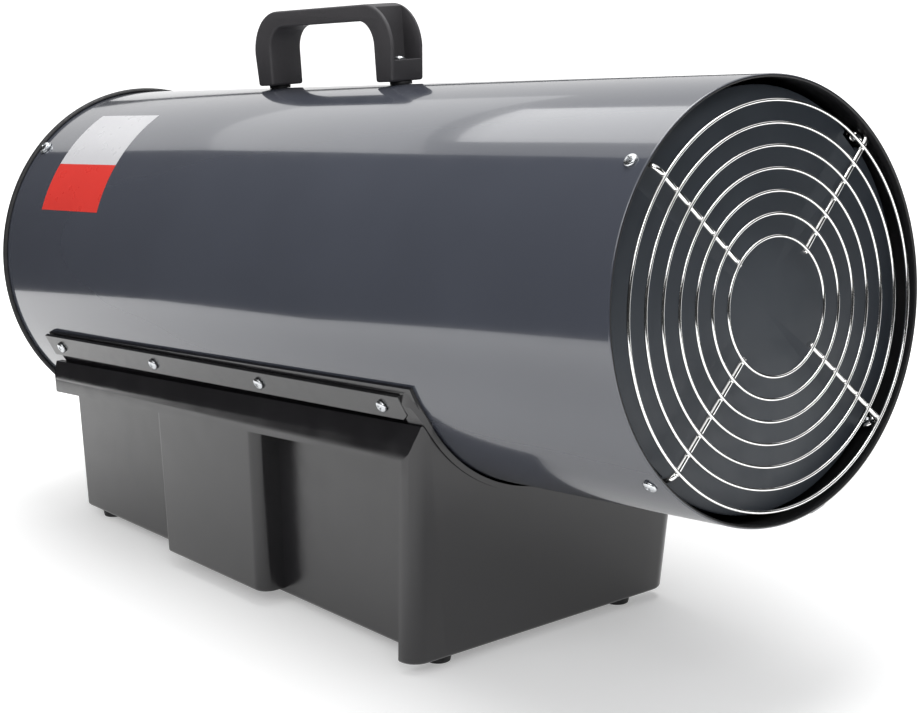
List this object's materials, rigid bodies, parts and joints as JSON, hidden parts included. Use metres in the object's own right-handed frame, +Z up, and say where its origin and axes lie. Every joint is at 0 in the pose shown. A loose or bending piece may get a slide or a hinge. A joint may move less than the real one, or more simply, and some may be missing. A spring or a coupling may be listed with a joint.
{
  "type": "forced air heater",
  "caption": "Gas-fired forced air heater: pitched sheet-metal tube with wire outlet guard, fan and burner inside, top handle, and a drafted moulded base on rubber feet.",
  "frame": {"origin": "on the floor, under the middle of the bounding box", "axes": "+X out of the hot end, +Z up, +Y to the left when looking along +X"},
  "size_m": [0.8258, 0.308, 0.4764],
  "materials": {
    "slate_paint": "glossy slate-grey stove enamel",
    "bright_wire": "bright chromed wire",
    "black_plastic": "black moulded plastic, satin gloss",
    "black_bar": "black satin paint",
    "grey_plastic": "fine-textured dark grey plastic",
    "rubber": "matt black rubber",
    "steel": "plain sheet steel",
    "motor_paint": "black enamel",
    "zinc": "bright zinc plate",
    "brass": "turned brass",
    "copper": "plain copper tube",
    "ceramic": "white glazed ceramic",
    "red_plastic": "red moulded plastic"
  },
  "bodies": {
    "heater": {"outer_casing": "slate_paint", "baffle_disc": "slate_paint", "outlet_guard": "bright_wire", "rear_guard": "bright_wire", "base_shell": "black_plastic", "igniter_body": "black_plastic", "cable_gland": "black_plastic", "cable_gland_locknut": "black_plastic", "power_switch_housing": "black_plastic", "right_strip": "black_bar", "left_strip": "black_bar", "handle": "grey_plastic", "rear_edge_trim": "rubber", "handle_spacer_1": "rubber", "handle_spacer_2": "rubber", "foot_1": "rubber", "foot_2": "rubber", "foot_3": "rubber", "foot_4": "rubber", "inner_liner": "steel", "motor_bracket": "steel", "burner_cup": "steel", "burner_bracket": "steel", "motor_body": "motor_paint", "gas_valve_body": "zinc", "overheat_thermostat": "zinc", "handle_screw_1": "zinc", "handle_screw_2": "zinc", "outlet_screw_1": "zinc", "outlet_screw_2": "zinc", "outlet_screw_3": "zinc", "outlet_screw_4": "zinc", "rear_screw_1": "zinc", "rear_screw_2": "zinc", "rear_screw_3": "zinc", "rear_screw_4": "zinc", "right_strip_screw_1": "zinc", "right_strip_screw_2": "zinc", "right_strip_screw_3": "zinc", "right_strip_screw_4": "zinc", "left_strip_screw_1": "zinc", "left_strip_screw_2": "zinc", "left_strip_screw_3": "zinc", "left_strip_screw_4": "zinc", "burner_nozzle": "brass", "thermocouple": "brass", "gas_inlet_nipple": "brass", "gas_pipe": "copper", "spark_electrode": "ceramic"},
    "fan": {"fan_rotor": "steel", "motor_shaft": "steel", "fan_nut": "zinc"},
    "gas_button": {"gas_valve_button": "red_plastic"},
    "igniter_button": {"igniter_button": "red_plastic"},
    "rocker": {"power_switch_rocker": "black_plastic"}
  },
  "joints": [
    {"name": "fan_spin", "type": "hinge", "parent": "heater", "child": "fan", "pos_m": [-0.27922, 0, 0.2391], "axis": [0.9965, 0, 0.0837], "continuous": true},
    {"name": "gas_button_press", "type": "slide", "parent": "heater", "child": "gas_button", "axis": [1, 0, 0], "range_m": [0, 0.006], "stiffness_N_per_m": 400, "springref_m": -0.002},
    {"name": "igniter_button_press", "type": "slide", "parent": "heater", "child": "igniter_button", "axis": [1, 0, 0], "range_m": [0, 0.004], "stiffness_N_per_m": 400, "springref_m": -0.002},
    {"name": "switch_rock", "type": "hinge", "parent": "heater", "child": "rocker", "pos_m": [-0.3471, -0.042, 0.042], "axis": [0, 1, 0], "range_deg": [0, 14]}
  ]
}
